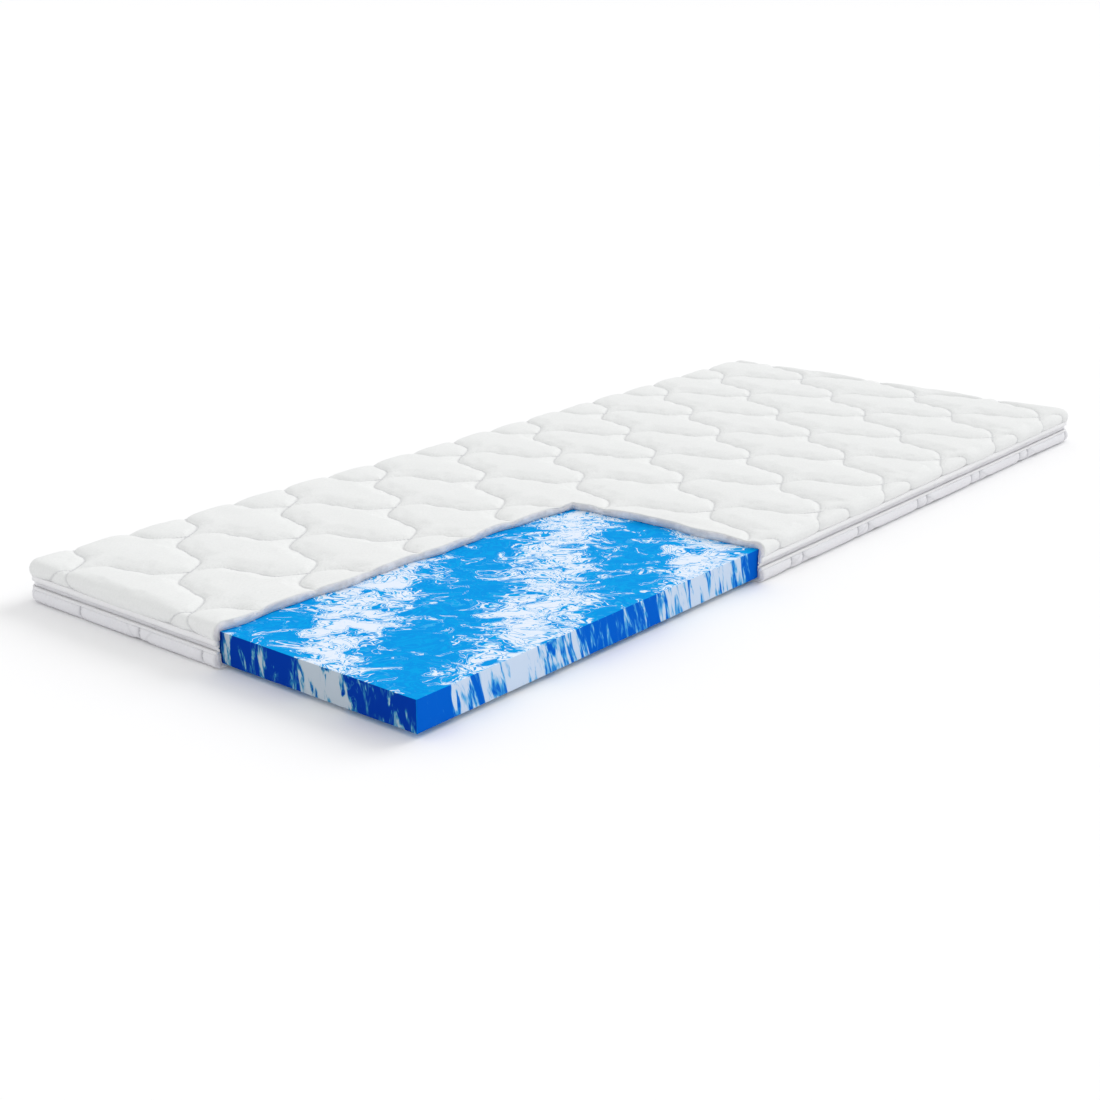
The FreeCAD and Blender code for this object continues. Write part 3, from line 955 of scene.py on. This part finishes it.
def waddingBody(name, half, puff, body, node, liningSide, liningLevel):
    # from just under the face fabric to the lining, swelling out where it is cut
    u, v, keep = half.lines(cover["waddingGrid"], 4 * mm)
    u, v = wanderCut(u, v)
    off = puff(u, v)
    lowest = np.minimum.reduce([np.roll(np.roll(off, i, 0), j, 1) for i in (-1, 0, 1) for j in (-1, 0, 1)])
    du, dv = u - cutX, v - cutY
    nearCut = np.exp(-(np.where(du > dv, du, dv) / (9 * mm)) ** 2)
    under = off * nearCut + lowest * (1 - nearCut) - cover["face"] - 1.2 * mm * (1 - nearCut)
    outer = half.point(u, v, under)
    inner = half.sharpPoint(u, v, liningSide, liningLevel)
    atU = (np.abs(du) < 60 * mm) & (dv < 30 * mm)
    atV = (np.abs(dv) < 60 * mm) & (du < 30 * mm)
    layers = [outer]
    for share in (0.12, 0.3, 0.5, 0.7, 0.88):
        swell = cover["bulge"] * math.sin(math.pi * share) ** 0.6
        rough = 1 + 0.35 * ripples(u, v + share, int(share * 100), 6, 14 * mm)
        layer = outer * (1 - share) + inner * share
        layer = layer - swell * rough[..., None] * np.stack([atU, atV, np.zeros_like(atU)], -1)
        layers.append(layer)
    layers.append(inner)
    points, quads = joinSheets(layers, keep, flip=half.up < 0)
    piece = makePiece(name, points, quads)
    place(piece, body, "fibre_wadding", [node], finishes["wadding"])
    return piece


def lining(name, half, body, node, side, level, thickness):
    u, v, keep = half.lines(14 * mm, 7 * mm)
    u, v = wanderCut(u, v)
    outer = half.sharpPoint(u, v, side, level)
    inner = half.sharpPoint(u, v, side + thickness, level + thickness)
    points, quads = joinSheets([outer, inner], keep, flip=half.up < 0)
    piece = makePiece(name, points, quads)
    place(piece, body, "backing_fleece", [node], finishes["fleece"])
    return piece


liningInset = halfLength - upperLiningHigh[0]
face = upperFace()
print("upper quilt face made")
lowFace = lowerFace()
print("lower quilt face made")
upperLevel = upperWrap.crown - upperLiningHigh[2]
lowerLevel = lowerLiningLow[2] - lowerWrap.crown
halves = {
    "upper": (upperWrap, upperPuff, "top_cover", "top", upperLevel),
    "lower": (lowerWrap, lowerPuff, "bottom_cover", "bottom", lowerLevel),
}
for name, (half, puff, body, side, level) in halves.items():
    waddingBody(name + "Wadding", half, puff, body, side + "_wadding", liningInset, level)
print("wadding made")
linings = [
    lining(name + "Lining", half, body, side + "_backing_fleece", liningInset, level, cover["fleece"])
    for name, (half, _, body, side, level) in halves.items()
]
print("linings made")


# Strips that run round the wall: bindings, zip tapes, coils and seams


def wallPath(step):
    # the outline from the cut on the left side, along the back and right side, to the cut in front;
    # gives places, the way out of the wall, the length run, and how far each place is into a corner
    r = wrap["planCorner"]
    x, y = halfLength - r, halfWidth - r
    spots, outs, turns = [], [], []
    stops = [
        ((-halfLength, cutY), (-halfLength, y), math.pi), ((-x, halfWidth), (x, halfWidth), math.pi / 2),
        ((halfLength, y), (halfLength, -y), 0.0), ((x, -halfWidth), (cutX, -halfWidth), -math.pi / 2),
    ]
    centres = [(-x, y), (x, y), (x, -y)]
    for side, (start, end, facing) in enumerate(stops):
        count = max(2, int(math.dist(start, end) / step))
        t = np.linspace(0, 1, count)[:, None]
        spots.append(np.array(start) * (1 - t) + np.array(end) * t)
        outs.append(np.tile([math.cos(facing), math.sin(facing)], (count, 1)))
        turns.append(np.zeros(count))
        if side < 3:
            bend = np.linspace(0, 1, max(8, int(r * math.pi / 2 / step)))[1:-1]
            angle = facing - bend * math.pi / 2
            way = np.stack([np.cos(angle), np.sin(angle)], 1)
            spots.append(np.array(centres[side]) + r * way)
            outs.append(way)
            turns.append(np.sin(bend * math.pi))
    spots, outs, turns = np.concatenate(spots), np.concatenate(outs), np.concatenate(turns)
    run = np.concatenate([[0], np.cumsum(np.linalg.norm(np.diff(spots, axis=0), axis=1))])
    return spots, outs, run, turns


def alongWall(at, inset, z, path):
    # places on the wall at the lengths run given, inset from the outline; corners come out a little
    spots, outs, run, turns = path
    x, y = (np.interp(at, run, spots[:, k]) for k in (0, 1))
    nx, ny = (np.interp(at, run, outs[:, k]) for k in (0, 1))
    size = np.hypot(nx, ny)
    depth = inset * (1 - 0.24 * np.interp(at, run, turns))
    return np.stack([x - nx / size * depth, y - ny / size * depth, z + 0 * at], -1)


finePath = wallPath(2 * mm)
stripStep = 6 * mm
wallRun = finePath[2][-1]


def strip(name, section, wave, body, slot, node, finish):
    # a closed ribbon: its section's (inset, height) corners carried along the wall, rippling a little
    at = np.linspace(0, wallRun, int(wallRun / stripStep))
    ring = []
    across = np.concatenate([[0], np.cumsum([math.dist(a, b) for a, b in zip(section, section[1:])])])
    for inset, z in section:
        ripple = wave * ripples(at, np.full_like(at, z * 3), 21, 6, 90 * mm)
        ring.append(alongWall(at, inset + ripple, z + ripple * 0.6, finePath))
    points = np.stack(ring, 1)
    count, sides = points.shape[:2]
    index = np.arange(count * sides).reshape(count, sides)
    caps = []
    for k in range(sides // 2 - 1):
        first, last = index[[0, -1]][:, [k, k + 1, sides - 2 - k, sides - 1 - k]]
        caps += [first[::-1], last]
    cloth = np.stack([np.repeat(at, sides), np.tile(across, count)], 1)
    piece = makePiece(name, points.reshape(-1, 3), np.concatenate([ringQuads(index), caps]), cloth)
    place(piece, body, slot, [node], finish)


def ribbonSection(outer, inner, low, high, rounding):
    # a rounded upright rectangle, listed so that its first half mirrors its second
    r, middle = rounding, (outer + inner) / 2
    front = [
        (middle, high), (outer + r, high - 0.1 * r), (outer + 0.25 * r, high - 0.5 * r),
        (outer, high - 1.4 * r), (outer - 0.1 * r, (low + high) / 2), (outer, low + 1.4 * r),
        (outer + 0.25 * r, low + 0.5 * r), (outer + r, low + 0.1 * r), (middle, low),
    ]
    return front + [(inner, low + (high - low) * share) for share in (0, 0.3, 0.5, 0.6, 0.7, 0.8, 1)]


def nodeSpan(node):
    low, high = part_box(node)
    return halfLength - high[0], low[2], high[2]      # inset of its outer face, lowest and highest


upperBinding, lowerBinding, upperTape, lowerTape, upperCoil, lowerCoil, upperSeam, lowerSeam = (
    nodeSpan(half + part)
    for part in ("_edge_binding", "_zip_tape", "_zip_coil", "_seam_thread") for half in ("upper", "lower")
)
tapeThickness = 0.8 * mm
ribbons = [
    ("Binding", "edge_binding", "binding", (0.16 * mm, 0.12 * mm), (
        (upperBinding[0], upperTape[0], upperBinding[1], upperBinding[2] + 1 * mm, 1.0 * mm),
        (lowerBinding[0], lowerTape[0], lowerBinding[1] - 0.5 * mm, lowerBinding[2], 1.1 * mm),
    )),
    ("ZipTape", "zip_tape", "zipTape", (0.0, 0.0), tuple(
        (tape[0], tape[0] + tapeThickness, tape[1], tape[2], 0.2 * mm) for tape in (upperTape, lowerTape)
    )),
]
for kind, slot, finish, waves, sections in ribbons:
    for half, body, wave, section in zip(("upper", "lower"), ("top_cover", "bottom_cover"), waves, sections):
        node = half + "_" + slot
        strip(half + kind, ribbonSection(*section), wave, body, slot, node, finishes[finish])
print("bindings and zip tapes made")


def bars(name, starts, ends, radius, across, body, slot, node, finish, sides=4):
    # many small bars in one piece, each from a start to an end, thick in the middle and thin at its tips
    starts, ends = np.asarray(starts), np.asarray(ends)
    axis = ends - starts
    length = np.linalg.norm(axis, axis=1, keepdims=True)
    axis = axis / np.maximum(length, 1e-9)
    side = np.cross(axis, across)
    side /= np.maximum(np.linalg.norm(side, axis=1, keepdims=True), 1e-9)
    up = np.cross(side, axis)
    rings = [(0.0, 0.35), (0.16, 0.92), (0.5, 1.0), (0.84, 0.92), (1.0, 0.35)]
    angles = np.arange(sides) * turn / sides
    points = []
    for share, girth in rings:
        centre = starts + (ends - starts) * share
        for angle in angles:
            points.append(centre + girth * radius * (math.cos(angle) * side + math.sin(angle) * up))
    points = np.stack(points, 1)
    count, each = points.shape[:2]
    ringIndex = np.arange(each).reshape(len(rings), sides)
    caps = [ringIndex[0][::-1], ringIndex[-1]]
    quads = np.concatenate([ringQuads(ringIndex), caps])[:, ::-1]
    copies = (np.arange(count)[:, None, None] * each + quads[None]).reshape(-1, 4)
    piece = makePiece(name, points.reshape(-1, 3), copies)
    place(piece, body, slot, [node], finish)
    return piece


zipLook = {
    "pitch": 2.1 * mm,
    "tooth": 0.74 * mm,         # half thickness of a tooth
    "overlap": 0.5 * mm,        # how far the teeth reach past the zip's middle
    "parkGap": 0.6 * mm,        # bare coil beside the parked slider
    "seamStitch": 3.2 * mm,
    "seamGap": 1.3 * mm,
    "seamThread": 0.32 * mm,
    "seamDrop": 1.6 * mm,       # the upper seam lies this far below the edge of the face
}
parked = [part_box(node) for node in ("zip_slider_body", "zip_start_box", "zip_start_pin")]
parkFrom = min(low[0] for low, _ in parked) - zipLook["parkGap"]
parkTo = max(high[0] for _, high in parked) + zipLook["parkGap"]


def coil(name, span, direction, body, node):
    # upright teeth beside one another along the wall; the two rows stand half a pitch apart
    shift = 0.0 if direction > 0 else zipLook["pitch"] / 2
    at = np.arange(1 * mm + shift, wallRun - 1 * mm, zipLook["pitch"])
    depth = span[0] + zipLook["tooth"]
    zFar = span[2] if direction > 0 else span[1]
    middle = (upperCoil[1] + lowerCoil[2]) / 2
    starts = alongWall(at, depth, zFar, finePath)
    ends = alongWall(at, depth, middle - direction * zipLook["overlap"], finePath)
    hidden = (starts[:, 1] > halfWidth - 30 * mm) & (starts[:, 0] > parkFrom) & (starts[:, 0] < parkTo)
    starts, ends = starts[~hidden], ends[~hidden]
    across = np.array([1.0, 1.0, 0.0])
    return bars(name, starts, ends, zipLook["tooth"], across, body, "zip_coil", node, finishes["coil"])


coil("upperCoilTeeth", upperCoil, 1, "top_cover", "upper_zip_coil")
coil("lowerCoilTeeth", lowerCoil, -1, "bottom_cover", "lower_zip_coil")


def seam(name, inset, z, body, node):
    pitch = zipLook["seamStitch"] + zipLook["seamGap"]
    at = np.arange(2 * mm, wallRun - 4 * mm, pitch)
    starts = alongWall(at, inset, z, finePath)
    ends = alongWall(at + zipLook["seamStitch"], inset, z, finePath)
    upright = np.array([0.0, 0.0, 1.0])
    bars(name, starts, ends, zipLook["seamThread"], upright, body, "stitch_thread", node, finishes["thread"])


seams = (("upper", "top_cover", upperBinding, upperSeam, zipLook["seamDrop"]),
         ("lower", "bottom_cover", lowerBinding, lowerSeam, 0.0))
for half, body, binding, thread, drop in seams:
    height = (thread[1] + thread[2]) / 2 - drop
    seam(half + "SeamStitches", binding[0] - 0.1 * mm, height, body, half + "_seam_thread")
print("zip coils and seams made")


# Quilting stitches


def latticeStitches(half, knots, within):
    # stitches along one branch, copied to every knot both ways, then kept where there is cloth
    q = quilting
    v = np.linspace(0, 1, 400)
    x, y = sway(v) * q["cell"] / 2, -v * q["row"]
    run = np.concatenate([[0], np.cumsum(np.hypot(np.diff(x), np.diff(y)))])
    pitch = q["stitch"] + q["gap"]
    count = int(run[-1] / pitch)
    at = (np.arange(count) + 0.5) * run[-1] / count
    ends = [at - q["stitch"] / 2, at + q["stitch"] / 2]
    local = [np.stack([np.interp(e, run, x), np.interp(e, run, y)], 1) for e in ends]
    starts, stops = [], []
    rows = int(2 * half.halfY / q["row"]) + 3
    reach = int(halfLength / q["cell"]) + 2
    for row in range(-rows, rows + 1):
        knotY = knots[1] + row * q["row"]
        for cell in range(-reach, reach + 1):
            knotX = knots[0] + (cell + (row % 2) / 2) * q["cell"]
            for way in (-1, 1):
                starts.append(np.array([knotX, knotY]) + local[0] * [way, 1])
                stops.append(np.array([knotX, knotY]) + local[1] * [way, 1])
    starts, stops = np.concatenate(starts), np.concatenate(stops)
    keep = np.ones(len(starts), bool)
    for ends in (starts, stops):
        inCut = (ends[:, 0] < cutX + 9 * mm) & (ends[:, 1] < cutY + 9 * mm)
        s, _ = half.beyond(ends[:, 0], ends[:, 1])
        keep &= ~inCut & (s < half.reach - within)
        keep &= np.abs(ends[:, 0]) < half.halfX + half.reach
        keep &= np.abs(ends[:, 1]) < half.halfY + half.reach
    return starts[keep], stops[keep]


def quiltingThread():
    starts, stops = latticeStitches(upperWrap, upperKnots, 3 * mm)
    points = []
    for ends in (starts, stops):
        off = upperPuff(ends[:, 0], ends[:, 1]) + 1.3 * mm
        points.append(upperWrap.point(ends[:, 0], ends[:, 1], off))
    print("quilting stitches:", len(starts))
    return bars("quiltingStitches", *points, quilting["thread"], np.array([0.1, 0.2, 1.0]),
                "top_cover", "stitch_thread", "top_quilting_thread", finishes["thread"])


def pinchThread():
    # lattice stitches under the mattress, and upright ones on the wall at every pinched line
    under = latticeStitches(lowerWrap, lowerKnots, lowerWrap.reach - lowerWrap.flat)
    starts, stops = ([ends] for ends in under)
    pitch = quilting["stitch"] + quilting["gap"]
    first = lowerWrap.reach - pinching["inset"] - np.arange(int(pinching["height"] / pitch)) * pitch
    sites = []
    for x in pinchPlaces(pinching["from"], pinching["every"], pinching["pair"], lowerWrap.halfX):
        sites += [(x, way, 1) for way in (-1, 1) if way > 0 or x > cutX + 4 * mm]
    for y in pinchPlaces(0, pinching["endEvery"], 0, lowerWrap.halfY):
        sites += [(y, way, 0) for way in (-1, 1) if way > 0 or y > cutY + 4 * mm]
    for spot, way, onLong in sites:
        for ends, past in ((starts, first), (stops, first - quilting["stitch"])):
            half = lowerWrap.halfY if onLong else lowerWrap.halfX
            out, along = way * (half + past), np.full(len(past), spot)
            ends.append(np.stack([along, out] if onLong else [out, along], 1))
    points = []
    for ends in (np.concatenate(starts), np.concatenate(stops)):
        off = lowerPuff(ends[:, 0], ends[:, 1]) + 0.6 * mm
        points.append(lowerWrap.point(ends[:, 0], ends[:, 1], off))
    return bars("pinchStitches", *points, quilting["thread"] * 0.9, np.array([0.1, 0.2, 1.0]),
                "bottom_cover", "stitch_thread", "lower_pinch_stitches", finishes["thread"])


quiltingThread()
pinchThread()
print("quilting stitches made")


# Care label and zip metal


def careLabel():
    # a small ribbon that hangs from the lower seam and curls a little away from the wall
    low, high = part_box("care_label")
    across = np.linspace(low[0], high[0], 13)
    down = np.linspace(high[2], low[2] + 1 * mm, 9)
    x, z = np.meshgrid(across, down, indexing="ij")
    fallen = (high[2] - z) / (high[2] - low[2])
    y = high[1] + 0.5 * mm + 1.6 * mm * fallen**2 + 0.35 * mm * np.sin(turn * x / (26 * mm)) * fallen
    front = np.stack([x, y + 0.3 * mm, z], -1)
    back = np.stack([x, y, z], -1)
    points, quads = joinSheets([front, back], np.ones((12, 8), bool))
    piece = makePiece("careLabel", points, quads)
    place(piece, "bottom_cover", "label_satin", ["care_label"], finishes["label"])


careLabel()
for node in ("zip_slider_body", "zip_pull_tab", "zip_start_box", "zip_start_pin"):
    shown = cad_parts[node]
    shown.data.materials.clear()
    shown.data.materials.append(finishes["nickel"])
print("label and zip metal finished")


def declareFace(piece, half):
    flat = (2 * (half.halfX + half.reach), 2 * (half.halfY + half.reach))
    missing = (cutX + flat[0] / 2) * (cutY + flat[1] / 2)
    flat[0] * flat[1] - missing
    print(piece.name, "lies flat as", [round(w, 3) for w in flat])


declareFace(face, upperWrap)
declareFace(lowFace, lowerWrap)
declareFace(linings[0], upperWrap)
declareFace(linings[1], lowerWrap)
